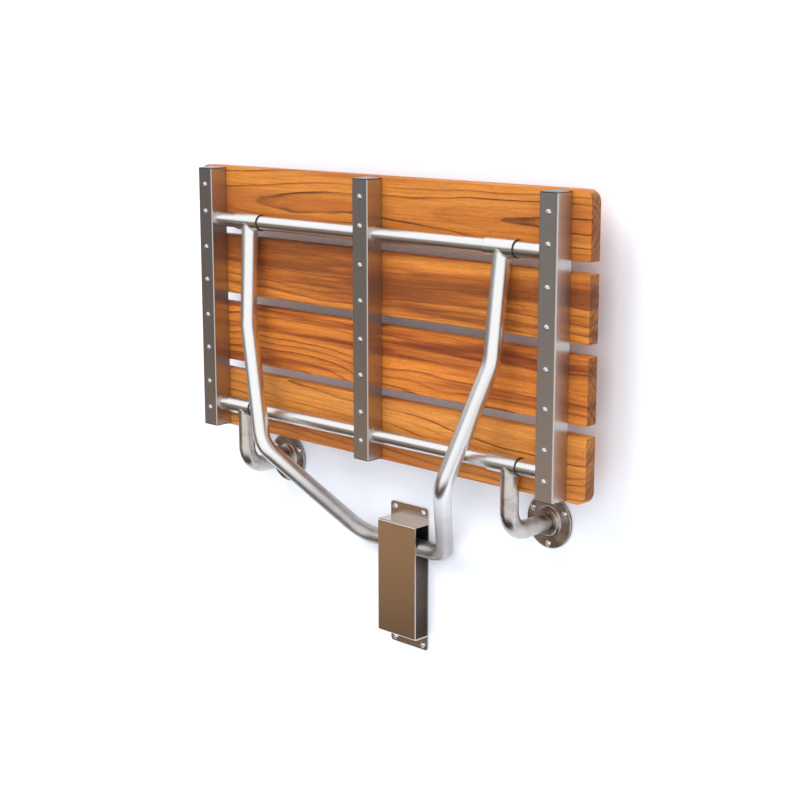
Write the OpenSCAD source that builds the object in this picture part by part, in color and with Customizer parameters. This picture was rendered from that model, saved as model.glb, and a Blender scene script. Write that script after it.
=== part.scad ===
// Wall-mounted folding shower seat, shown folded up against the wall.
// X runs along the wall, the wall is the plane Y = 0, the room is at -Y and +Z is up.
// The origin is the centre of the four wall screws of the slide bracket.

/* [Seat] */
// Length of each slat along the wall
slat_len = 765; // [740:1:800]
// Width of one slat
slat_w = 91; // [84:1:92]
// Gap between two slats
slat_gap = 15; // [12:1:18]
// Thickness of the slats
slat_t = 20; // [18:1:24]
// Corner radius of the whole seat
corner_r = 16; // [6:1:24]
// Easing radius along the edges of the slats
edge_r = 2.5; // [1:0.5:3]
// Height of the folded seat's middle above the origin
seat_z = 400; // [390:1:410]

/* [Rails] */
// Side of the square rail
rail_w = 30; // [28:1:32]
// Wall thickness of the rail
rail_wall = 1.5; // [1:0.1:2]
// Outer corner radius of the rail
rail_r = 1.5; // [1:0.5:3]
// Distance from the middle rail to each outer rail
rail_pitch = 337; // [330:1:345]
// Length of a rail with its two caps
rail_len = 407; // [398:1:408]
// Thickness of the part of a cap that shows
cap_t = 3; // [1:0.5:4]
// Depth that a cap's plug goes into the rail
plug_len = 9; // [6:1:12]

/* [Round tubes] */
// Outer diameter of the two cross tubes that the hinges turn on
tube_d = 22; // [20:0.5:22]
// Outer diameter of the leg, the cross bar and the elbows
leg_d = 25.4; // [22:0.2:25.4]
// Wall thickness of the round tubes
tube_wall = 1.5; // [1:0.1:2]
// Distance from the wall to the axes of the two cross tubes
axis_off = 89; // [86:1:92]
// Height of the hinge axis above the origin
hinge_z = 235; // [230:1:240]
// Distance from the hinge axis up to the leg axis
pivot_rise = 289; // [284:1:292]

/* [Hinges] */
// Distance from the middle to each elbow and wall flange
hinge_x = 267.5; // [266:0.5:275]
// Distance that both hinge sleeves sit to the left of their elbows
hinge_shift = 8.5; // [0:0.5:9]
// Distance from the middle to each leg sleeve
leg_x = 250; // [245:1:255]
// Length over a sleeve and its two bush flanges
hinge_len = 52; // [48:1:54]
// Outer diameter of a sleeve
sleeve_d = 26; // [26:0.5:27]
// Inner diameter of a sleeve
sleeve_bore = 23.6; // [23.4:0.1:24]
// Thickness of a bush flange
bush_flange_t = 0.8; // [0.6:0.1:1.5]
// Length of a bush inside its sleeve
bush_len = 18; // [12:1:18]
// Radial clearance between a bush and the tube that turns in it
running_gap = 0.05; // [0.02:0.01:0.1]

/* [Leg] */
// Distance from the middle to the upper bend
knee_x = 244; // [238:1:248]
// Upper bend, distance in front of the leg axis
knee_out = 12; // [8:1:16]
// Upper bend, distance below the leg axis
knee_drop = 152; // [140:1:160]
// Distance from the middle to the lower bend
shin_x = 183; // [178:1:190]
// Lower bend, distance in front of the leg axis
shin_out = 42; // [38:1:46]
// Lower bend, distance below the leg axis
shin_drop = 329; // [320:1:335]
// Distance from the middle to the corner at the foot
foot_x = 85; // [80:1:95]
// Centreline radius of the upper bend
knee_r = 70; // [50:5:90]
// Centreline radius of the lower bend
shin_r = 45; // [40:1:50]
// Centreline radius of the corner at the foot
foot_r = 45; // [40:1:50]

/* [Slide bracket] */
// Width of the back plate and of the hood
bracket_w = 76; // [70:1:80]
// Height of the back plate
plate_h = 222; // [216:1:230]
// Thickness of the back plate and of the hood's sheet
plate_t = 2; // [1.5:0.5:2]
// Height over the hood
hood_h = 177; // [174:1:180]
// Distance from the wall to the hood's front face
hood_depth = 30; // [30:0.5:32]
// Outer radius of the hood's two folds
fold_r = 3.5; // [3:0.5:5]
// Clearance between the cross bar and the hood's floor when the seat is down
bar_gap = 0.4; // [0.3:0.1:1]
// Distance between the wall screws across the bracket
bracket_screw_x = 57; // [54:1:60]
// Distance between the wall screws up the bracket
bracket_screw_z = 207; // [205:1:209]

/* [Wall flanges] */
// Diameter of a wall flange
flange_d = 77; // [76:1:84]
// Thickness of a wall flange
flange_t = 4; // [3:0.5:5]
// Height of the flange's middle above the origin
flange_z = 139; // [135:1:146]
// Diameter of the raised hub at its mouth
hub_d = 33; // [31:1:34]
// Radius of the hollow curve that the hub falls to the plate with
hub_flare = 8; // [7:1:8]
// Height of the hub from the wall
hub_h = 11; // [8:1:14]
// Diameter of the circle of screws
flange_pcd = 63; // [62:1:64]
// Centreline radius of the elbow
elbow_r = 33; // [30:1:40]

/* [Fasteners] */
// Diameter of the wall screw holes
wall_hole_d = 5.5; // [5.4:0.1:6]
// Thread diameter of the wall screws
wall_thread_d = 5; // [4.5:0.1:5]
// Length that a wall screw stands out behind the wall plane
wall_thread_len = 35; // [25:1:50]
// Head diameter of the wall screws
wall_head_d = 9.5; // [9:0.5:10]
// Head height of the wall screws
wall_head_h = 2.8; // [2:0.1:3.5]
// Head diameter of the rail screws
rail_head_d = 8; // [7:0.5:9]
// Head height of the rail screws
rail_head_h = 2.6; // [2:0.1:3]
// Shank diameter of the rail screws
rail_shank_d = 4; // [3:0.5:4]

/* [Hidden] */
$fn = 64;
slats = 4;
tube_r = tube_d / 2;
leg_r = leg_d / 2;
sleeve_r = sleeve_d / 2;
sleeve_bore_r = sleeve_bore / 2;
seat_h = slats * slat_w + (slats - 1) * slat_gap;
pivot_z = hinge_z + pivot_rise;
rail_inner_r = max(rail_r - rail_wall, 0.3);
rail_front_y = -axis_off - rail_w / 2;
slat_front_y = -axis_off + rail_w / 2;
slat_mid_y = slat_front_y + slat_t / 2;
// Heights of the two screws of each slat above its middle, from the front slat to the rear slat
slat_screws = [[17.5, -23.5], [27.5, -23.5], [27.5, -24.5], [27.5, -14.5]];
wood_hole_depth = 16;
screw_bite = 15;
hole_gap = 0.3;
fit_gap = 0.05;
// The gap that shows round an elbow in the mouth of its flange
mouth_gap = 0.6;
// The ring of a sleeve's end face that its bush flange leaves bare
bare_rim = 0.6;
// The flat land between a screw head's edge and its dome
rim_land = 0.1;
cut = 1;
plate_corner_r = 5;
flange_edge_r = 1.5;
// How far the hub's hollow curve runs out below the flange's face
flare_sink = 0.3;
// Gap between an elbow's end and the wall
elbow_wall_gap = 0.5;
// Wall thickness and inner corner radius of a cap's plug
plug_wall = 2;
plug_inner_r = 0.5;
// Pointed ends of the screws, and how much thinner a wall screw is under its head
wall_tip_len = 5;
rail_tip_len = 3;
tip_r = 0.4;
neck_step = 0.3;
// How far the cross bar stands out of each side of the bracket, and its gap to the leg's ends
bar_stand_out = 0.3;
leg_part_gap = 0.4;
// The bar at the foot of the leg lies in the middle of the hood's slot
bar_y = -hood_depth / 2;
bar_low_z = -hood_h / 2 + plate_t + leg_r + bar_gap;
// Leg length from axis to bar, set by the seat lying level with the bar on the hood's floor
leg_reach = pivot_rise + axis_off + bar_y;
leg_len = sqrt(pow(leg_reach, 2) + pow(hinge_z - bar_low_z, 2));
bar_z = pivot_z - sqrt(pow(leg_len, 2) - pow(axis_off + bar_y, 2));
// The real leg is one tube. Here the bar inside the bracket is a piece of its own
bar_half = bracket_w / 2 + bar_stand_out;
leg_end_x = bar_half + leg_part_gap;
leg_path = [[leg_x, -axis_off, pivot_z], [knee_x, -axis_off - knee_out, pivot_z - knee_drop],
    [shin_x, -axis_off - shin_out, pivot_z - shin_drop], [foot_x, bar_y, bar_z], [leg_end_x, bar_y, bar_z]];
leg_bends = [0, knee_r, shin_r, foot_r, 0];
elbow_path = [[hinge_x, -elbow_wall_gap, flange_z], [hinge_x, -axis_off, flange_z],
    [hinge_x, -axis_off, hinge_z]];
elbow_bends = [0, elbow_r, 0];
sweep_sides = 32;
sweep_step = 6;
wood_colours = ["#c98048", "#c67a40", "#b8693a", "#d08a4c"];

function unit(v) = v / norm(v);
// Direction of the straight that leaves point i of a path
function leaving(path, i) = unit(path[i + 1] - path[i]);
function bend_angle(path, i) = acos(leaving(path, i - 1) * leaving(path, i));
// Length that the bend at point i takes off each straight beside it
function bend_cut(path, radii, i) = radii[i] == 0 ? 0 : radii[i] * tan(bend_angle(path, i) / 2);
// Placement whose local X, Y and Z axes and origin are the four vectors
function placement(x, y, z, o) =
    [[x[0], y[0], z[0], o[0]], [x[1], y[1], z[1], o[1]], [x[2], y[2], z[2], o[2]], [0, 0, 0, 1]];
function slat_z(i) = seat_z + seat_h / 2 - slat_w / 2 - i * (slat_w + slat_gap);

// A round bar that follows a path of straights and bends, longer by extra at both ends
module path_bar(path, radii, r, extra = 0) {
    last = len(path) - 1;
    for (i = [0:last - 1]) {
        z = leaving(path, i);
        x = unit(cross(z, abs(z[0]) < 0.9 ? [1, 0, 0] : [0, 1, 0]));
        from = path[i] + z * (i == 0 ? -extra : bend_cut(path, radii, i));
        to = path[i + 1] - z * (i == last - 1 ? -extra : bend_cut(path, radii, i + 1));
        multmatrix(placement(x, cross(z, x), z, from)) cylinder(h = norm(to - from), r = r);
    }
    for (i = [1:last - 1]) {
        y = leaving(path, i - 1);
        inward = unit(leaving(path, i) - y * (leaving(path, i) * y));
        centre = path[i] - y * bend_cut(path, radii, i) + inward * radii[i];
        multmatrix(placement(-inward, y, cross(-inward, y), centre))
            rotate_extrude(angle = bend_angle(path, i)) translate([radii[i], 0]) circle(r);
    }
}

// A hollow tube along a path, coped by whatever is given as children
module path_tube(path, radii) {
    difference() {
        path_bar(path, radii, leg_r);
        path_bar(path, radii, leg_r - tube_wall, cut);
        children();
    }
}

// Vector v turned about the unit axis k
function turned(v, k, a) = v * cos(a) + cross(k, v) * sin(a) + k * (k * v) * (1 - cos(a));
// Rings of a sweep through the bend at point i, each as centre, sideways and forward directions
function bend_rings(path, radii, i, side) =
    let (z = leaving(path, i - 1), axis = unit(cross(z, leaving(path, i))), inward = cross(axis, z),
        centre = path[i] - z * bend_cut(path, radii, i) + inward * radii[i],
        angle = bend_angle(path, i), steps = ceil(angle / sweep_step))
    [for (s = [0:steps]) let (a = angle * s / steps)
        [centre - turned(inward, axis, a) * radii[i], turned(side, axis, a), turned(z, axis, a)]];
function rings_from(path, radii, i, side) =
    i == len(path) - 1 ? [[path[i], side, leaving(path, i - 1)]]
    : let (r = bend_rings(path, radii, i, side))
        concat(r, rings_from(path, radii, i + 1, r[len(r) - 1][1]));
function sweep_rings(path, radii) =
    let (z = leaving(path, 0), side = unit(cross([0, 1, 0], z)))
    concat([[path[0], side, z]], rings_from(path, radii, 1, side));
function ring_points(rings, r) =
    [for (g = rings, j = [0:sweep_sides - 1]) let (a = 360 * j / sweep_sides)
        g[0] + (g[1] * cos(a) + cross(g[2], g[1]) * sin(a)) * r];

// A hollow tube along a path that bends in more than one plane
module swept_tube(path, radii) {
    rings = sweep_rings(path, radii);
    n = sweep_sides;
    inside = n * len(rings);
    last = inside - n;
    walls = [for (b = [0:n:last - n], j = [0:n - 1]) let (k = (j + 1) % n)
        each [[b + j, b + n + j, b + n + k, b + k],
            [inside + b + j, inside + b + k, inside + b + n + k, inside + b + n + j]]];
    ends = [for (j = [0:n - 1]) let (k = (j + 1) % n)
        each [[j, k, inside + k, inside + j], [last + j, inside + last + j, inside + last + k, last + k]]];
    polyhedron(concat(ring_points(rings, leg_r), ring_points(rings, leg_r - tube_wall)),
        concat(walls, ends));
}

module rounded_rect(w, h, r) {
    square([w - 2 * r, h], center = true);
    square([w, h - 2 * r], center = true);
    for (x = [-1, 1], y = [-1, 1]) translate([x * (w / 2 - r), y * (h / 2 - r)]) circle(r);
}

// A round bar along X from x1 to x2
module bar_x(x1, x2, y, z, r) {
    translate([x1, y, z]) rotate([0, 90, 0]) cylinder(h = x2 - x1, r = r);
}

// A round bar along Y from y1 to y2
module bar_y(x, y1, y2, z, r) {
    translate([x, y1, z]) rotate([-90, 0, 0]) cylinder(h = y2 - y1, r = r);
}

// Puts a right-hand piece on the side given by -1 or 1
module on_side(side) {
    if (side > 0) children();
    else mirror([1, 0, 0]) children();
}

// A domed head on Y = 0 that faces -Y, with a cross recess
module dome_head(d, h) {
    rim = h * 0.3;
    dome = h - rim;
    ball = (pow(d / 2 - rim_land, 2) + pow(dome, 2)) / (2 * dome);
    recess = [d * 0.54, h * 0.5 + cut, d * 0.12];
    difference() {
        union() {
            bar_y(0, -rim, 0, 0, d / 2);
            intersection() {
                translate([0, ball - h, 0]) sphere(ball);
                bar_y(0, -h, -rim, 0, d / 2);
            }
        }
        for (a = [0, 90]) rotate([0, a, 0])
            translate([-recess[0] / 2, -h - cut, -recess[2] / 2]) cube(recess);
    }
}

module bracket_back_plate() {
    color("#8d8a86") difference() {
        rotate([90, 0, 0]) linear_extrude(plate_t) rounded_rect(bracket_w, plate_h, plate_corner_r);
        for (x = [-1, 1], z = [-1, 1])
            bar_y(x * bracket_screw_x / 2, -plate_t - cut, cut, z * bracket_screw_z / 2, wall_hole_d / 2);
    }
}

// One strip folded twice: top, front and bottom, with open sides
module bracket_hood() {
    depth = hood_depth - plate_t;
    color("#9a7b5c") translate([-bracket_w / 2, -plate_t, 0]) rotate([90, 0, 90]) linear_extrude(bracket_w)
        difference() {
            union() {
                translate([-depth / 2, 0]) rounded_rect(depth, hood_h, fold_r);
                translate([-depth / 2, -hood_h / 2]) square([depth / 2, hood_h]);
            }
            translate([-depth + plate_t, -hood_h / 2 + plate_t]) square([depth, hood_h - 2 * plate_t]);
        }
}

// A wall screw whose head sits at height seat_y and whose thread stands out behind the wall
module wall_screw(x, z, seat_y) {
    neck = wall_thread_d / 2 - neck_step;
    tip_y = wall_thread_len - wall_tip_len;
    translate([x, 0, z]) {
        translate([0, seat_y, 0]) dome_head(wall_head_d, wall_head_h);
        bar_y(0, seat_y, 0, 0, neck);
        bar_y(0, 0, tip_y, 0, wall_thread_d / 2);
        translate([0, tip_y, 0]) rotate([-90, 0, 0]) cylinder(h = wall_tip_len, r1 = neck, r2 = tip_r);
    }
}

module bracket_screws() {
    color("#c9c9c6") for (x = [-1, 1], z = [-1, 1])
        wall_screw(x * bracket_screw_x / 2, z * bracket_screw_z / 2, -plate_t);
}

function flange_screw(a) = [hinge_x + cos(a) * flange_pcd / 2, flange_z + sin(a) * flange_pcd / 2];

// Half section of a wall flange: a plate with a round edge and a hub with a hollow flank
module flange_section() {
    hub_foot = hub_d / 2 + hub_flare;
    square([flange_d / 2, flange_t - flange_edge_r]);
    square([flange_d / 2 - flange_edge_r, flange_t]);
    translate([flange_d / 2 - flange_edge_r, flange_t - flange_edge_r]) circle(flange_edge_r);
    difference() {
        square([hub_foot, hub_h]);
        translate([hub_foot, flange_t + hub_flare - flare_sink]) circle(hub_flare);
    }
}

module wall_flange(side) {
    color("#9c9892") on_side(side) difference() {
        translate([hinge_x, 0, flange_z]) rotate([90, 0, 0]) rotate_extrude() flange_section();
        bar_y(hinge_x, -hub_h - cut, cut, flange_z, leg_r + fit_gap);
        bar_y(hinge_x, -hub_h - cut, -flange_t, flange_z, leg_r + mouth_gap);
        for (a = [30, 150, 270])
            bar_y(flange_screw(a)[0], -flange_t - cut, cut, flange_screw(a)[1], wall_hole_d / 2);
    }
}

module flange_screws(side) {
    color("#c9c9c6") on_side(side) for (a = [30, 150, 270])
        wall_screw(flange_screw(a)[0], flange_screw(a)[1], -flange_t);
}

module elbow_arm(side) {
    color("#a8a5a0") on_side(side) path_tube(elbow_path, elbow_bends)
        bar_x(hinge_x - hinge_len, hinge_x + hinge_len, -axis_off, hinge_z, sleeve_r);
}

module sleeve(x, z) {
    half = hinge_len / 2 - bush_flange_t;
    difference() {
        bar_x(x - half, x + half, -axis_off, z, sleeve_r);
        bar_x(x - hinge_len, x + hinge_len, -axis_off, z, sleeve_bore_r);
    }
}

// Two flanged bushes, one in each end of a sleeve
module bushes(x, z) {
    for (s = [-1, 1]) translate([x, -axis_off, z]) rotate([0, s * 90, 0])
        difference() {
            union() {
                translate([0, 0, hinge_len / 2 - bush_flange_t])
                    cylinder(h = bush_flange_t, r = sleeve_r - bare_rim);
                translate([0, 0, hinge_len / 2 - bush_flange_t - bush_len])
                    cylinder(h = bush_len, r = sleeve_bore_r - fit_gap);
            }
            cylinder(h = hinge_len, r = tube_r + running_gap);
        }
}

module hinge_sleeve(side) {
    color("#a8a5a0") sleeve(side * hinge_x - hinge_shift, hinge_z);
}

module hinge_bushes(side) {
    color("#1c1c1c") bushes(side * hinge_x - hinge_shift, hinge_z);
}

// Outline of the whole seat, seen from the room
module seat_outline() {
    translate([0, seat_z]) rounded_rect(slat_len, seat_h, corner_r);
}

module slat(i) {
    color(wood_colours[i]) difference() {
        intersection() {
            translate([-slat_len / 2, slat_mid_y, slat_z(i)]) rotate([90, 0, 90])
                linear_extrude(slat_len) rounded_rect(slat_t, slat_w, edge_r);
            translate([0, 0, slat_z(i) - slat_w / 2]) linear_extrude(slat_w)
                translate([0, slat_mid_y]) rounded_rect(slat_len, slat_t, edge_r);
            translate([0, slat_mid_y + slat_t, 0]) rotate([90, 0, 0])
                linear_extrude(2 * slat_t) seat_outline();
        }
        for (x = [-1, 0, 1], z = slat_screws[i])
            bar_y(x * rail_pitch, slat_front_y - cut, slat_front_y + wood_hole_depth, slat_z(i) + z,
                rail_shank_d / 2 + fit_gap);
    }
}

module rail(side) {
    inner = rail_w - 2 * rail_wall;
    length = rail_len - 2 * cap_t;
    color("#77726c") difference() {
        translate([side * rail_pitch, -axis_off, seat_z - length / 2]) linear_extrude(length) difference() {
            rounded_rect(rail_w, rail_w, rail_r);
            rounded_rect(inner, inner, rail_inner_r);
        }
        for (i = [0:slats - 1], z = slat_screws[i])
            bar_y(side * rail_pitch, rail_front_y - cut, slat_front_y + cut, slat_z(i) + z,
                rail_shank_d / 2 + hole_gap);
    }
}

module rail_caps(side) {
    plug = rail_w - 2 * rail_wall - 2 * fit_gap;
    color("#1c1c1c") for (s = [-1, 1]) translate([side * rail_pitch, -axis_off, seat_z + s * rail_len / 2])
        mirror([0, 0, s > 0 ? 1 : 0]) {
            linear_extrude(cap_t) rounded_rect(rail_w, rail_w, rail_r);
            linear_extrude(cap_t + plug_len) difference() {
                rounded_rect(plug, plug, rail_inner_r);
                rounded_rect(plug - 2 * plug_wall, plug - 2 * plug_wall, plug_inner_r);
            }
        }
}

module rail_screws(side) {
    tip_y = rail_w + screw_bite - rail_tip_len;
    color("#e2e2e0") for (i = [0:slats - 1], z = slat_screws[i])
        translate([side * rail_pitch, rail_front_y, slat_z(i) + z]) {
            dome_head(rail_head_d, rail_head_h);
            bar_y(0, 0, tip_y, 0, rail_shank_d / 2);
            translate([0, tip_y, 0]) rotate([-90, 0, 0])
                cylinder(h = rail_tip_len, r1 = rail_shank_d / 2, r2 = tip_r);
        }
}

// The length of a cross tube between the middle rail and an outer rail
module cross_tube(side, z) {
    color("#b9b7b3") on_side(side) difference() {
        bar_x(rail_w / 2, rail_pitch - rail_w / 2, -axis_off, z, tube_r);
        bar_x(0, rail_pitch, -axis_off, z, tube_r - tube_wall);
    }
}

module leg_tube(side) {
    color("#c4c2be") on_side(side) difference() {
        swept_tube(leg_path, leg_bends);
        bar_x(leg_x - hinge_len, leg_x + hinge_len, -axis_off, pivot_z, sleeve_r);
    }
}

module leg_sleeve(side) {
    color("#c4c2be") sleeve(side * leg_x, pivot_z);
}

module leg_bushes(side) {
    color("#1c1c1c") bushes(side * leg_x, pivot_z);
}

module cross_bar() {
    color("#c4c2be") difference() {
        bar_x(-bar_half, bar_half, bar_y, bar_z, leg_r);
        bar_x(-bar_half - cut, bar_half + cut, bar_y, bar_z, leg_r - tube_wall);
    }
}

bracket_back_plate();
bracket_hood();
bracket_screws();
wall_flange(-1);  // left_wall_flange
wall_flange(1);  // right_wall_flange
flange_screws(-1);  // left_flange_screws
flange_screws(1);  // right_flange_screws
elbow_arm(-1);  // left_elbow_arm
elbow_arm(1);  // right_elbow_arm
hinge_sleeve(-1);  // left_hinge_sleeve
hinge_sleeve(1);  // right_hinge_sleeve
hinge_bushes(-1);  // left_hinge_bushes
hinge_bushes(1);  // right_hinge_bushes
slat(0);  // front_slat
slat(1);  // front_middle_slat
slat(2);  // rear_middle_slat
slat(3);  // rear_slat
rail(-1);  // left_rail
rail(0);  // middle_rail
rail(1);  // right_rail
rail_caps(-1);  // left_rail_caps
rail_caps(0);  // middle_rail_caps
rail_caps(1);  // right_rail_caps
rail_screws(-1);  // left_rail_screws
rail_screws(0);  // middle_rail_screws
rail_screws(1);  // right_rail_screws
cross_tube(-1, pivot_z);  // left_leg_axle_tube
cross_tube(1, pivot_z);  // right_leg_axle_tube
cross_tube(-1, hinge_z);  // left_hinge_tube
cross_tube(1, hinge_z);  // right_hinge_tube
leg_tube(-1);  // left_leg_tube
leg_tube(1);  // right_leg_tube
leg_sleeve(-1);  // left_leg_sleeve
leg_sleeve(1);  // right_leg_sleeve
leg_bushes(-1);  // left_leg_bushes
leg_bushes(1);  // right_leg_bushes
cross_bar();
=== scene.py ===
"""Looks of the wall-mounted folding shower seat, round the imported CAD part. Metres, in the CAD's frame."""
import math

import bmesh
import bpy
from mathutils import Matrix, Vector


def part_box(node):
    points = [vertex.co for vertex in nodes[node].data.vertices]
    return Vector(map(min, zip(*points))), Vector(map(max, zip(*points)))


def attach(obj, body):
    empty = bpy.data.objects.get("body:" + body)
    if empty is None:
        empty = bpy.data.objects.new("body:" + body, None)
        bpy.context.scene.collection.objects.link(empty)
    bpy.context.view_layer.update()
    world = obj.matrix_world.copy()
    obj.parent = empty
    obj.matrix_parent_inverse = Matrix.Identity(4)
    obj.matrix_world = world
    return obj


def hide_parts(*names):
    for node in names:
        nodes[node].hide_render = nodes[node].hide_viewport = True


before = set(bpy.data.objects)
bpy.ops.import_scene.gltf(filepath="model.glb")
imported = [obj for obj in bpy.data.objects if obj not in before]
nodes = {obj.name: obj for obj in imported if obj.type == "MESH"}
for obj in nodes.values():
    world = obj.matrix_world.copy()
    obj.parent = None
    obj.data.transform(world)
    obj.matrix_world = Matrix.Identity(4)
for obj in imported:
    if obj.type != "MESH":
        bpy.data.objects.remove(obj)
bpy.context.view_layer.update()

# ---------------------------------------------------------------- sizes, as in the CAD part
TUBE_R, LEG_R, TUBE_WALL = 0.011, 0.0127, 0.0015
SLEEVE_R = 0.013
HINGE_Z, PIVOT_Z = 0.235, 0.524
AXIS_Y = -0.089
SLAT_Y = AXIS_Y + 0.015
RAIL_X, RAIL_HALF, RAIL_CORNER = 0.337, 0.015, 0.0015
HINGE_X, LEG_X = 0.2675, 0.250
# Bends of the leg: how far from the middle, and how far in front of the leg's pivot and below it
KNEE_X, KNEE_OUT, KNEE_DROP = 0.244, 0.012, 0.152
SHIN_X, SHIN_OUT, SHIN_DROP = 0.183, 0.042, 0.329
FOOT_X = 0.085
LEG_BENDS = (0.070, 0.045, 0.045)
CAP_T, SLAT_EDGE, SEAT_CORNER = 0.003, 0.0025, 0.016

# ---------------------------------------------------------------- sizes of the visual model only
# The smooth leg stays this much inside the faceted one, and its end this far from the cross bar's
SHY, END_GAP = 0.00004, 0.0001
LEG_BEAD, ELBOW_BEAD, RAIL_BEAD = 0.0011, 0.0012, 0.0009
CAP_RIM = 0.0013
# Points round a loop of weld
LOOP = 240
# The bracket's sheet gets the painted shade of its inside from this depth on
SHEET = 0.00195
SHARP_ANGLE = math.radians(40)


# ---------------------------------------------------------------- node helpers
class Tree:
    """A short way to write a node tree: each call adds a node and returns its output socket."""

    def __init__(self, owner, shader, output):
        owner.use_nodes = True
        self.owner = owner
        self.tree = owner.node_tree
        self.tree.nodes.clear()
        self.output = self.tree.nodes.new(output)
        self.shader = self.tree.nodes.new(shader)
        self.put(self.output.inputs[0], self.shader.outputs[0])
        self._coord = None

    def put(self, socket, value):
        if isinstance(value, bpy.types.NodeSocket):
            self.tree.links.new(value, socket)
        elif hasattr(value, "__len__") and len(value) == 3 and socket.type == "RGBA":
            socket.default_value = (*value, 1)
        else:
            socket.default_value = value

    def set(self, **values):
        for name, value in values.items():
            self.put(self.shader.inputs[name.replace("_", " ")], value)

    def node(self, kind, inputs=(), out=0, **props):
        node = self.tree.nodes.new(kind)
        for name, value in props.items():
            setattr(node, name, value)
        for key, value in dict(inputs).items():
            self.put(node.inputs[key], value)
        return node.outputs[out]

    def coord(self):
        if self._coord is None:
            self._coord = self.node("ShaderNodeTexCoord", out="Object")
        return self._coord

    def split(self, vector):
        """The X, Y and Z of a vector."""
        return [self.node("ShaderNodeSeparateXYZ", {0: vector}, out=i) for i in range(3)]

    def math(self, op, a, b=0.0, c=0.0, clamp=False):
        return self.node("ShaderNodeMath", {0: a, 1: b, 2: c}, operation=op, use_clamp=clamp)

    def noise(self, scale, shift=(0, 0, 0), detail=3.0, rough=0.5, vector=None):
        place = self.node("ShaderNodeMapping", {
            "Vector": vector or self.coord(), "Scale": scale, "Location": shift})
        return self.node("ShaderNodeTexNoise", {
            "Vector": place, "Scale": 1.0, "Detail": detail, "Roughness": rough})

    def ramp(self, value, lo, hi, out_lo=0.0, out_hi=1.0, smooth=True):
        return self.node("ShaderNodeMapRange", {0: value, 1: lo, 2: hi, 3: out_lo, 4: out_hi},
                         interpolation_type="SMOOTHSTEP" if smooth else "LINEAR")

    def mix(self, fac, a, b):
        return self.node("ShaderNodeMix", {0: fac, 6: a, 7: b}, out=2, data_type="RGBA")

    def bump(self, height, distance, strength):
        self.set(Normal=self.node("ShaderNodeBump", {
            "Height": height, "Distance": distance, "Strength": strength}))


def surface(name):
    """The tree of a new material."""
    return Tree(bpy.data.materials.new(name), "ShaderNodeBsdfPrincipled", "ShaderNodeOutputMaterial")


# ---------------------------------------------------------------- materials
STREAK_RED = (0.36, 0.085, 0.018)
# Height over depth of the end grain's streaks
STREAK_SLOPE = 1.6
STAIN = (0.30, 0.25, 0.20)
PALE = (0.885, 0.90, 0.935)


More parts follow.
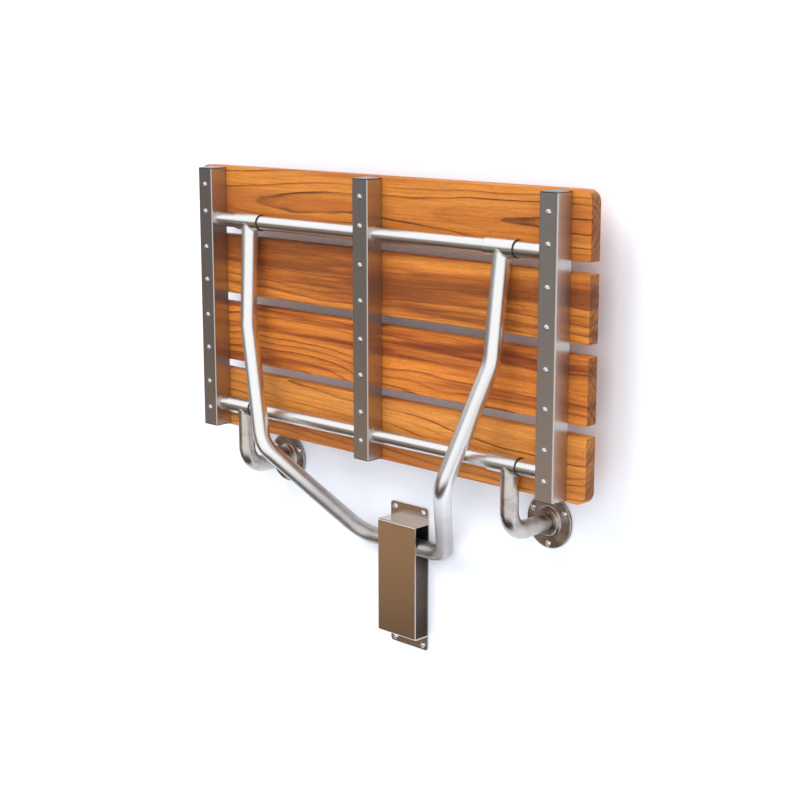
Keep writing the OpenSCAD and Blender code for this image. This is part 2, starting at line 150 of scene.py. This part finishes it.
def teak(name, seed, light, mid, dark, heart_z, depth, tilt, ring, wander, line, band, red=STREAK_RED):
    """Flat-sawn teak, whose growth rings are cylinders round a log axis that runs nearly along X.

    The axis lies at height heart_z, and depth + tilt * x in front of the board's room side. ring is the
    width of a ring and wander how far the rings stray. line and band are how strongly the late wood's dark
    lines and the coloured bands show.
    """
    t = surface(name)
    x, y, z = t.split(t.coord())
    stray_z = t.math("SUBTRACT", t.noise((3.4, 7, 7), (seed, 0, 0), detail=2), 0.5)
    stray_y = t.math("SUBTRACT", t.noise((2.2, 4, 4), (0, seed, 3), detail=2), 0.5)
    ragged = t.noise((18, 110, 110), (seed, 1, 2), detail=4, rough=0.6)
    axis_z = t.math("ADD", t.math("SUBTRACT", z, heart_z), t.math("MULTIPLY", stray_z, wander))
    axis_y = t.math("ADD", t.math("ADD", y, depth - SLAT_Y), t.math("MULTIPLY", x, tilt))
    axis_y = t.math("ADD", axis_y, t.math("MULTIPLY", stray_y, wander))
    squares = t.math("ADD", t.math("MULTIPLY", axis_z, axis_z), t.math("MULTIPLY", axis_y, axis_y))
    radius = t.math("SQRT", squares)
    rings = t.math("ADD", t.math("DIVIDE", radius, ring), t.math("MULTIPLY", ragged, 0.30))
    which = t.math("FLOOR", rings)
    part = t.math("FRACT", rings)
    luck = t.node("ShaderNodeTexWhiteNoise", {"W": t.math("ADD", which, seed)}, noise_dimensions="1D")
    fade = t.noise((7, 22, 22), (3, seed, 9), detail=3)
    soft = t.noise((1.5, 9, 30), (seed, 5, 1), detail=4, rough=0.6)
    streak = t.noise((5, 120, 260), (seed, 2, 8), detail=3, rough=0.55)
    fibre = t.noise((22, 800, 800), (seed, 0, 0), detail=4, rough=0.6)
    pores = t.noise((95, 2300, 2300), (0, seed, 0), detail=1)
    blotch = t.noise((4, 12, 12), (7, seed, 0), detail=2)
    # Late wood darkens slowly and ends in a sharp dark line, which comes and goes along the board
    late = t.math("POWER", part, 2.5)
    edge = t.math("MULTIPLY", t.ramp(part, 0.70, 0.92), t.ramp(part, 0.95, 1.0, 1.0, 0.0))
    strength = t.math("MULTIPLY", t.ramp(luck, 0.10, 0.85, 0.10, 1.0),
                      t.math("MULTIPLY", t.ramp(fade, 0.30, 0.62, 0.35, 1.0), line))
    colour = t.mix(t.math("MULTIPLY", t.ramp(soft, 0.43, 0.59), band), light, mid)
    colour = t.mix(t.math("MULTIPLY", t.ramp(soft, 0.53, 0.63), t.math("MULTIPLY", band, 0.88)), colour, red)
    colour = t.mix(t.math("MULTIPLY", late, t.ramp(luck, 0.0, 1.0, 0.15, 0.60)), colour, mid)
    colour = t.mix(t.ramp(streak, 0.46, 0.72, 0.0, 0.60), colour, mid)
    colour = t.mix(t.math("MULTIPLY", edge, strength, clamp=True), colour, dark)
    colour = t.mix(t.ramp(pores, 0.60, 0.74, 0.0, 0.40), colour, dark)
    tone = t.math("MULTIPLY", t.ramp(fibre, 0.2, 0.8, 0.84, 1.24, smooth=False),
                  t.ramp(blotch, 0.25, 0.75, 0.90, 1.10, smooth=False))
    # The end grain drinks more oil, so it is darker, and it shows slanted streaks
    facing_x = t.math("ABSOLUTE", t.split(t.node("ShaderNodeTexCoord", out="Normal"))[0])
    on_end = t.ramp(facing_x, 0.45, 0.95)
    across_streaks = t.math("SUBTRACT", z, t.math("MULTIPLY", y, STREAK_SLOPE))
    slanted = t.node("ShaderNodeCombineXYZ", {1: across_streaks, 2: z})
    slant = t.noise((1, 330, 25), (seed, 0, 4), detail=3, vector=slanted)
    colour = t.mix(t.math("MULTIPLY", on_end, t.ramp(slant, 0.44, 0.64, 0.0, 0.70)), colour, dark)
    tone = t.math("MULTIPLY", tone, t.ramp(on_end, 0.0, 1.0, 1.0, 0.64, smooth=False))
    colour = t.node("ShaderNodeHueSaturation", {"Value": tone, "Color": colour})
    t.set(Base_Color=colour, Specular_IOR_Level=0.30,
          Roughness=t.ramp(fibre, 0.2, 0.8, 0.42, 0.58, smooth=False))
    t.bump(t.math("SUBTRACT", t.math("MULTIPLY", fibre, 0.6), t.ramp(pores, 0.58, 0.74)), 0.00022, 0.8)
    return t.owner


def steel(name, colour, rough, along, stroke=0.5, mottle=0.0, spread=0.06, seed=0.0, dull=None, across=0.0):
    """Stainless steel with fine grinding marks along one axis, or with an even grain where along is None.

    mottle is how cloudy and stained it is. darkening is a function that gives how far the steel is darkened
    at each
    point, and its colour there: the duller steel near the leg's foot, and the painted shade on the bracket's
    inside.
    across is how much wider reflections are across Z, as grinding marks along Z make them.
    """
    t = surface(name)
    scale = [2600.0, 2600.0, 2600.0]
    if along is not None:
        scale["xyz".index(along)] = 12.0
    marks = t.noise(tuple(scale), (seed, seed, 0), detail=5, rough=0.65)
    wide = t.noise(tuple(s * 0.35 for s in scale), (0, seed, seed), detail=3)
    cloud = t.noise((38, 38, 38), (seed, 0, seed), detail=4, rough=0.6)
    both = t.math("MULTIPLY_ADD", marks, 0.65, t.math("MULTIPLY", wide, 0.35))
    tone = t.math("MULTIPLY", t.ramp(both, 0.3, 0.7, 1 - spread, 1 + spread, smooth=False),
                  t.ramp(cloud, 0.25, 0.75, 1 - mottle, 1 + mottle * 0.6, smooth=False))
    shade = t.mix(t.ramp(cloud, 0.45, 0.85, 0.0, mottle), colour, STAIN)
    shade = t.node("ShaderNodeHueSaturation", {"Value": tone, "Color": shade})
    roughness = t.math("ADD", t.ramp(both, 0.25, 0.75, rough - 0.04, rough + 0.05, smooth=False),
                       t.ramp(cloud, 0.3, 0.8, -mottle * 0.15, mottle * 0.3, smooth=False))
    # Darker, rougher steel where the given function asks for it: duller steel near a leg's foot, and painted
    # shade inside the bracket
    if dull:
        amount, dull_colour = dull(t)
        shade = t.mix(t.math("MULTIPLY", amount, t.ramp(cloud, 0.3, 0.7, 0.75, 1.0)), shade, dull_colour)
        roughness = t.math("MULTIPLY_ADD", amount, 0.12, roughness)
    t.set(Base_Color=shade, Metallic=1.0, Roughness=roughness)
    if across:
        t.set(Anisotropic=across, Tangent=t.node("ShaderNodeTangent", direction_type="RADIAL", axis="Z"))
    t.bump(both, 0.00003 * stroke, 0.6)
    return t.owner


def plastic(name, colour, rough):
    """Black moulded plastic with a fine grain, which is matt or glossy by its roughness."""
    t = surface(name)
    grain = t.noise((900, 900, 900), detail=3)
    t.set(Base_Color=t.mix(t.ramp(grain, 0.3, 0.7), colour, tuple(v * 1.5 for v in colour)),
          Roughness=t.ramp(grain, 0.3, 0.7, rough - 0.05, rough + 0.08), Specular_IOR_Level=0.5)
    t.bump(grain, 0.00002, 0.5)
    return t.owner


def stage_paint(name):
    """Matt pale paint that is clear from behind, so that it never hides the part."""
    t = surface(name)
    t.set(Base_Color=PALE, Roughness=0.9, Specular_IOR_Level=0.1)
    back = t.node("ShaderNodeNewGeometry", out="Backfacing")
    clear = t.node("ShaderNodeBsdfTransparent")
    t.put(t.output.inputs[0], t.node("ShaderNodeMixShader", {0: back, 1: t.shader.outputs[0], 2: clear}))
    return t.owner


def near_foot(t):
    """The leg is duller towards its foot. Like inside_bracket, it gives an amount and a colour to steel."""
    z = t.split(t.coord())[2]
    return t.ramp(z, 0.09, 0.20, 0.80, 0.0), (0.36, 0.33, 0.31)


def inside_bracket(t):
    """Painted shade on the bracket's inside: darker steel there, darkest in the upper half behind the bar.
    """
    _, y, z = t.split(t.coord())
    low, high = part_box("bracket_hood")
    behind_front = t.math("GREATER_THAN", y, low[1] + SHEET)
    within_ends = t.math("LESS_THAN", t.math("ABSOLUTE", z), high[2] - SHEET)
    # Painted shade: darker steel inside the bracket, darkest in its upper half behind the bar
    mill_finish = t.mix(t.ramp(z, 0.0, 0.05), (0.50, 0.455, 0.43), (0.13, 0.118, 0.108))
    return t.math("MULTIPLY", behind_front, within_ends), mill_finish


LIGHT, MID, DARK = (0.565, 0.202, 0.031), (0.35, 0.095, 0.013), (0.075, 0.020, 0.007)
RAIL = steel("rail_steel", (0.49, 0.455, 0.425), 0.30, "z", stroke=0.2, spread=0.05, across=0.6)
TUBE_X = steel("tube_steel_across", (0.78, 0.765, 0.745), 0.29, "x", spread=0.04, seed=2)
TUBE_Z = steel("tube_steel_leg", (0.79, 0.775, 0.755), 0.31, "z", spread=0.04, seed=5, dull=near_foot)
PICKLED = steel("pickled_steel", (0.58, 0.54, 0.50), 0.27, None, stroke=3, mottle=0.50, spread=0.07, seed=3)
FLANGE = steel("flange_steel", (0.42, 0.375, 0.34), 0.24, None, stroke=4, mottle=0.6, spread=0.09, seed=8)
# The bracket's warm, bronze tint is partly the steel's own and partly a painted reflection of the warm room;
# the inside of both sheets also gets painted shade
HOOD = steel("bracket_hood_steel", (0.61, 0.555, 0.50), 0.17, "x", stroke=0.6, spread=0.04, seed=4,
             dull=inside_bracket)
PLATE = steel("bracket_plate_steel", (0.58, 0.515, 0.46), 0.25, "x", stroke=0.6, spread=0.04, seed=6,
              dull=inside_bracket)
BEAD = steel("weld_steel", (0.66, 0.63, 0.59), 0.26, None, stroke=5, mottle=0.35, seed=9)
SCREW = steel("screw_steel", (0.66, 0.65, 0.64), 0.16, None, stroke=0.4, spread=0.03, seed=7)
BLACK = plastic("black_bush", (0.012, 0.012, 0.013), 0.45)
CAP = plastic("black_cap", (0.016, 0.017, 0.020), 0.16)

SLATS = {
    "front_slat": teak(
        "teak_front", 3.1, LIGHT, MID, DARK,
        heart_z=0.560, depth=0.0234, tilt=-0.0336, ring=0.0078, wander=0.020, line=1.0, band=0.45),
    "front_middle_slat": teak(
        "teak_front_middle", 11.7, (0.61, 0.215, 0.031), (0.33, 0.085, 0.012), DARK,
        red=(0.15, 0.039, 0.009),
        heart_z=0.640, depth=0.050, tilt=-0.020, ring=0.0110, wander=0.045, line=0.60, band=0.88),
    "rear_middle_slat": teak(
        "teak_rear_middle", 23.4, (0.60, 0.190, 0.025), (0.28, 0.060, 0.009), DARK,
        red=(0.12, 0.027, 0.008),
        heart_z=0.250, depth=0.060, tilt=0.035, ring=0.0100, wander=0.055, line=0.75, band=1.0),
    "rear_slat": teak(
        "teak_rear", 37.9, (0.645, 0.255, 0.047), (0.43, 0.130, 0.020), (0.12, 0.034, 0.009),
        heart_z=0.330, depth=0.080, tilt=-0.025, ring=0.0085, wander=0.050, line=0.9, band=0.55),
}


def paint(material, *names):
    """Gives CAD nodes a material."""
    for name in names:
        data = nodes[name].data
        data.materials.clear()
        data.materials.append(material)


def both_sides(*names):
    """The left and the right node of each name."""
    return [f"{s}_{n}" for n in names for s in ("left", "right")]


paint(RAIL, "left_rail", "middle_rail", "right_rail")
paint(CAP, "left_rail_caps", "middle_rail_caps", "right_rail_caps")
paint(SCREW, "left_rail_screws", "middle_rail_screws", "right_rail_screws", "bracket_screws",
      *both_sides("flange_screws"))
paint(TUBE_X, "cross_bar", *both_sides("leg_axle_tube", "hinge_tube", "leg_sleeve", "hinge_sleeve"))
paint(TUBE_Z, *both_sides("leg_tube"))
paint(PICKLED, *both_sides("elbow_arm"))
paint(FLANGE, *both_sides("wall_flange"))
paint(HOOD, "bracket_hood")
paint(PLATE, "bracket_back_plate")
paint(BLACK, *both_sides("hinge_bushes", "leg_bushes"))

# ---------------------------------------------------------------- pieces made here


def piece(name, points, faces, material, body, slot, *replaced):
    """A closed mesh with its normals outward, smooth but for its sharp edges, that rides on a body."""
    mesh = bpy.data.meshes.new(name)
    mesh.from_pydata(points, [], faces)
    build = bmesh.new()
    build.from_mesh(mesh)
    bmesh.ops.recalc_face_normals(build, faces=build.faces)
    build.to_mesh(mesh)
    build.free()
    mesh.materials.append(material)
    mesh.polygons.foreach_set("use_smooth", [True] * len(mesh.polygons))
    mesh.set_sharp_from_angle(angle=SHARP_ANGLE)
    obj = bpy.data.objects.new(name, mesh)
    bpy.context.scene.collection.objects.link(obj)
    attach(obj, body)
    if replaced:
        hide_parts(*replaced)


def bridge(a, b, n):
    """Quads between two rings of n points that start at the indices a and b."""
    return [(a + j, a + (j + 1) % n, b + (j + 1) % n, b + j) for j in range(n)]


def centreline(corners, radii, step=math.radians(3)):
    """Stations of a bent tube, each a point, a sideways direction and a forward direction."""
    ahead = [(b - a).normalized() for a, b in zip(corners, corners[1:])]
    side = ahead[0].cross(Vector((0, 1, 0))).normalized()
    stations = [(corners[0], side, ahead[0])]
    for corner, radius, before, after in zip(corners[1:], radii, ahead, ahead[1:]):
        turn = before.angle(after)
        axis = before.cross(after).normalized()
        start = corner - before * radius * math.tan(turn / 2)
        centre = start + axis.cross(before) * radius
        count = math.ceil(turn / step)
        for k in range(count + 1):
            spin = Matrix.Rotation(turn * k / count, 3, axis)
            stations.append((centre + spin @ (start - centre), spin @ side, spin @ before))
        side = stations[-1][1]
    return stations + [(corners[-1], side, ahead[-1])]


def around(station, radius, n):
    """A ring of n points round a station."""
    centre, side, forward = station
    other = forward.cross(side)
    return [centre + (side * math.cos(a) + other * math.sin(a)) * radius
            for a in (2 * math.pi * j / n for j in range(n))]


def to_sleeve(point, forward, axis_z, radius):
    """The point moved forward until it lies on a sleeve, which is a cylinder along X."""
    y, z = point.y - AXIS_Y, point.z - axis_z
    a, b = forward.y ** 2 + forward.z ** 2, y * forward.y + z * forward.z
    return point + forward * ((-b + math.sqrt(b * b - a * (y * y + z * z - radius ** 2))) / a)


def leg_corners(sign):
    """The leg's corner points, as in the CAD part; the last lies just short of the cross bar's end."""
    low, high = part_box("cross_bar")
    bar_y, bar_z = (low[1] + high[1]) / 2, (low[2] + high[2]) / 2
    corners = (
        (LEG_X, AXIS_Y, PIVOT_Z),
        (KNEE_X, AXIS_Y - KNEE_OUT, PIVOT_Z - KNEE_DROP),
        (SHIN_X, AXIS_Y - SHIN_OUT, PIVOT_Z - SHIN_DROP),
        (FOOT_X, bar_y, bar_z),
        (high[0] + END_GAP, bar_y, bar_z),
    )
    return [Vector((sign * x, y, z)) for x, y, z in corners]


def leg_tube(name, sign):
    """One half of the leg as a smooth hollow tube, coped to its sleeve."""
    n = 64
    stations = centreline(leg_corners(sign), LEG_BENDS)
    points = []
    for radius in (LEG_R - SHY, LEG_R - TUBE_WALL):
        for k, station in enumerate(stations):
            ring = around(station, radius, n)
            points += [to_sleeve(p, station[2], PIVOT_Z, SLEEVE_R) for p in ring] if k == 0 else ring
    inner = n * len(stations)
    faces = []
    for k in range(len(stations) - 1):
        faces += bridge(n * k, n * (k + 1), n) + bridge(inner + n * k, inner + n * (k + 1), n)
    faces += bridge(0, inner, n) + bridge(inner - n, 2 * inner - n, n)
    piece(name, points, faces, TUBE_Z, "leg", "tube_steel", name.replace("_smooth", ""))


def bead(loop, radius, scales, sides=8):
    """Points and faces of a weld bead along a closed loop, swollen once for each scale of the bead."""
    n = len(loop)
    middle = sum(loop, Vector()) / n
    points = []
    for k, p in enumerate(loop):
        along = (loop[(k + 1) % n] - loop[k - 1]).normalized()
        out = p - middle
        out = (out - along * out.dot(along)).normalized()
        up = along.cross(out)
        # Each scale swells towards its end, and a slow wave makes them uneven
        r = radius * (0.80 + 0.25 * (scales * k / n % 1) ** 0.7 + 0.06 * math.sin(7 * k / n * 2 * math.pi))
        points += [p + (out * math.cos(a) + up * math.sin(a)) * r
                   for a in (2 * math.pi * j / sides for j in range(sides))]
    faces = [f for k in range(n) for f in bridge(k * sides, (k + 1) % n * sides, sides)]
    return points, faces


def beads(name, loops, radius, scales, body, slot):
    """One piece with a weld bead along each loop."""
    points, faces = [], []
    for loop in loops:
        new_points, new_faces = bead(loop, radius, scales)
        faces += [tuple(len(points) + i for i in f) for f in new_faces]
        points += new_points
    piece(name, points, faces, BEAD, body, slot)


def saddle(corner, forward, axis_z):
    """The loop where a tube of the leg's size meets a sleeve."""
    station = (corner, forward.cross(Vector((0, 1, 0))).normalized(), forward)
    return [to_sleeve(p, forward, axis_z, SLEEVE_R) for p in around(station, LEG_R, LOOP)]


def rail_joint(x, z):
    """The circle where a cross tube meets the side of a rail."""
    return around((Vector((x, AXIS_Y, z)), Vector((0, 0, 1)), Vector((1, 0, 0))), TUBE_R, LOOP)


def rounded_outline(half_x, half_y, radii, inset=0.0, n=8):
    """Points round a rectangle, anticlockwise from its upper right corner, with a radius for each corner."""
    points = []
    for (sx, sy, first), radius in zip(((1, 1, 0), (-1, 1, 90), (-1, -1, 180), (1, -1, 270)), radii):
        arc = radius - min(inset, radius * 0.9)
        for k in range(n + 1):
            a = math.radians(first + 90 * k / n)
            points.append((sx * (half_x - inset - arc) + arc * math.cos(a),
                           sy * (half_y - inset - arc) + arc * math.sin(a)))
    return points


def slat(name, material, number):
    """A slat with all its edges eased, and the seat's round corners on the first and the last."""
    low, high = (Vector(v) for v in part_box(name))
    middle, half = (low + high) / 2, (high - low) / 2
    corner = [SEAT_CORNER if (number == 0 and upper) or (number == 3 and not upper) else SLAT_EDGE
              for upper in (True, True, False, False)]
    # Pairs of inset and depth: a quarter round on the room side, and the same again on the wall side
    ease = [math.radians(15 * k) for k in range(7)]
    profile = [(SLAT_EDGE * (1 - math.sin(a)), -half.y + SLAT_EDGE * (1 - math.cos(a))) for a in ease]
    profile = [(SLAT_EDGE * 1.4, -half.y)] + profile
    profile += [(inset, -depth) for inset, depth in reversed(profile)]
    points, faces = [], []
    for inset, depth in profile:
        points += [(middle.x + px, middle.y + depth, middle.z + pz)
                   for px, pz in rounded_outline(half.x, half.z, corner, inset, 16)]
    n = len(points) // len(profile)
    for k in range(len(profile) - 1):
        faces += bridge(n * k, n * (k + 1), n)
    faces += [tuple(range(n)), tuple(range(len(points) - n, len(points)))]
    piece(name + "_eased", points, faces, material, "seat", "teak_" + name.replace("_slat", ""), name)


def rail_caps(name, x, z_low, z_high):
    """Two caps with a straight rim and a slightly domed top."""
    points, faces = [], []
    rise, steps = CAP_T - CAP_RIM, 8
    # Pairs of width, as a share of the rail's, and height
    profile = [(1.0, 0.0), (1.0, CAP_RIM * 0.8), (0.985, CAP_RIM)]
    profile += [(0.97 * (1 - k / steps), CAP_RIM + rise * (1 - (1 - k / steps) ** 3)) for k in range(steps)]
    for base, up in ((z_low + CAP_T, -1), (z_high - CAP_T, 1)):
        start = len(points)
        outline = rounded_outline(RAIL_HALF, RAIL_HALF, [RAIL_CORNER] * 4)
        n = len(outline)
        for scale, height in profile:
            points += [(x + px * scale, AXIS_Y + py * scale, base + up * height) for px, py in outline]
        for k in range(len(profile) - 1):
            faces += bridge(start + n * k, start + n * (k + 1), n)
        faces.append(tuple(range(start, start + n)))
        faces.append(tuple(range(len(points) - n, len(points))))
    piece(name + "_domed", points, faces, CAP, "seat", "black_cap", name)


for number, (slat_name, slat_material) in enumerate(SLATS.items()):
    slat(slat_name, slat_material, number)
for side_name, sign in (("left", -1), ("right", 1)):
    corners = leg_corners(sign)
    down = Vector((0, 0, -1))
    leg_tube(side_name + "_leg_tube_smooth", sign)
    beads(side_name + "_leg_weld", [saddle(corners[0], (corners[1] - corners[0]).normalized(), PIVOT_Z)],
          LEG_BEAD, 44, "leg", "tube_steel")
    beads(side_name + "_elbow_weld", [saddle(Vector((sign * HINGE_X, AXIS_Y, HINGE_Z)), down, HINGE_Z)],
          ELBOW_BEAD, 40, "wall_frame", "elbow_steel")
    joints = [rail_joint(sign * x, z) for z in (HINGE_Z, PIVOT_Z) for x in (RAIL_HALF, RAIL_X - RAIL_HALF)]
    beads(side_name + "_tube_welds", joints, RAIL_BEAD, 36, "seat", "tube_steel")
for rail_name, rail_x in (("left", -RAIL_X), ("middle", 0.0), ("right", RAIL_X)):
    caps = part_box(rail_name + "_rail_caps")
    rail_caps(rail_name + "_rail_caps", rail_x, caps[0][2], caps[1][2])

# ---------------------------------------------------------------- stage, lights and camera


def grid_mesh(name, rows, material):
    """A surface through rows of points, each row as long as the others."""
    n = len(rows[0])
    faces = [(i * n + j, i * n + j + 1, (i + 1) * n + j + 1, (i + 1) * n + j)
             for i in range(len(rows) - 1) for j in range(n - 1)]
    mesh = bpy.data.meshes.new(name)
    mesh.from_pydata([p for row in rows for p in row], [], faces)
    mesh.materials.append(material)
    for p in mesh.polygons:
        p.use_smooth = True
    obj = bpy.data.objects.new(name, mesh)
    bpy.context.scene.collection.objects.link(obj)
    return obj


# The cove joins the wall, just behind the part's back, to the floor
WALL_Y, WALL_HEIGHTS, COVE_R = 0.0004, (2.4, 1.2, 0.4), 0.25
FLOOR_Z, STAGE_X, STAGE_FRONT = -0.62, 3.0, -3.6
sweep = [(WALL_Y, z) for z in WALL_HEIGHTS]
sweep += [(WALL_Y - COVE_R * (1 - math.cos(a)), FLOOR_Z + COVE_R * (1 - math.sin(a)))
          for a in (math.radians(6 * k) for k in range(16))]
wall = grid_mesh("stage_wall", [[(STAGE_X, y, z), (-STAGE_X, y, z)] for y, z in sweep],
                 stage_paint("stage_wall_paint"))
floor = grid_mesh("stage_floor",
                  [[(STAGE_X, y, FLOOR_Z), (-STAGE_X, y, FLOOR_Z)] for y in (WALL_Y - COVE_R, STAGE_FRONT)],
                  stage_paint("stage_floor_paint"))
floor.visible_glossy = False

# The room that the steel mirrors, by the direction's height and azimuth: bright above and on the right side,
# and dark low on the left, over a brown floor
ABOVE_FROM, RIGHT_LOW = (-0.02, 0.15), (-0.75, -0.45)
RIGHT_START, RIGHT_END = (-0.52, -0.37), (1.9, 2.2)
FLOOR_TONES = ((-0.70, (0.035, 0.028, 0.021)), (-0.36, (0.10, 0.066, 0.04)), (-0.275, (0.72, 0.44, 0.24)),
               (-0.225, (0.19, 0.155, 0.122)), (-0.07, (0.055, 0.051, 0.047)))
BRIGHT_ROOM, SOFT_LIGHT, BACKDROP = (1.25, 1.26, 1.30), (0.62, 0.65, 0.71), (1.0, 1.0, 1.0)
bpy.context.scene.world = bpy.data.worlds.new("studio")
world = Tree(bpy.context.scene.world, "ShaderNodeBackground", "ShaderNodeOutputWorld")
dir_x, dir_y, dir_z = world.split(world.node("ShaderNodeTexCoord", out="Generated"))
azimuth = world.math("ARCTAN2", dir_x, world.math("MULTIPLY", dir_y, -1.0))
right_side = world.math("MULTIPLY", world.ramp(dir_z, *RIGHT_LOW), world.ramp(azimuth, *RIGHT_START))
right_side = world.math("MULTIPLY", right_side, world.ramp(azimuth, *RIGHT_END, 1.0, 0.0))
bright = world.math("MAXIMUM", world.ramp(dir_z, *ABOVE_FROM), right_side)
low_left = world.tree.nodes.new("ShaderNodeValToRGB")
while len(low_left.color_ramp.elements) < len(FLOOR_TONES):
    low_left.color_ramp.elements.new(0.5)
for element, (height, tone) in zip(low_left.color_ramp.elements, FLOOR_TONES):
    element.position = (height + 1) / 2
    element.color = (*tone, 1)
world.put(low_left.inputs[0], world.math("MULTIPLY_ADD", dir_z, 0.5, 0.5))
room = world.mix(bright, low_left.outputs[0], BRIGHT_ROOM)
plain = world.mix(world.node("ShaderNodeLightPath", out="Is Camera Ray"), SOFT_LIGHT, BACKDROP)
world.set(Color=world.mix(world.node("ShaderNodeLightPath", out="Is Glossy Ray"), plain, room))


def area(name, place, aim, width, height, power):
    """A soft light that isn't seen in reflections, which show the world's room instead."""
    data = bpy.data.lights.new(name, "AREA")
    data.shape = "RECTANGLE"
    data.size, data.size_y = width, height
    data.energy = power
    obj = bpy.data.objects.new(name, data)
    bpy.context.scene.collection.objects.link(obj)
    obj.location = place
    obj.rotation_mode = "QUATERNION"
    obj.rotation_quaternion = (Vector(aim) - Vector(place)).to_track_quat("-Z", "Y")
    obj.visible_glossy = False


area("key", (-0.7, -2.0, 2.7), (0, 0, 0.30), 1.9, 1.6, 62)
area("fill", (1.9, -2.6, 1.2), (0, 0, 0.25), 2.2, 2.2, 44)

CAMERA_PLACE, CAMERA_LENS, SENSOR = (1.6132, -1.7028, 0.7621), 72.84, 36
YAW, PITCH = math.radians(43.827), math.radians(-11.828)
forward = Vector((-math.sin(YAW) * math.cos(PITCH), math.cos(YAW) * math.cos(PITCH), math.sin(PITCH)))
right = Vector((math.cos(YAW), math.sin(YAW), 0))
up = right.cross(forward)
camera_data = bpy.data.cameras.new("camera")
camera_data.sensor_width = SENSOR
camera_data.lens = CAMERA_LENS
camera = bpy.data.objects.new("camera", camera_data)
bpy.context.scene.collection.objects.link(camera)
camera.matrix_world = (Matrix.Translation(CAMERA_PLACE)
                       @ Matrix((right, up, -forward)).transposed().to_4x4())
bpy.context.scene.camera = camera
bpy.context.scene.view_settings.view_transform = "Standard"
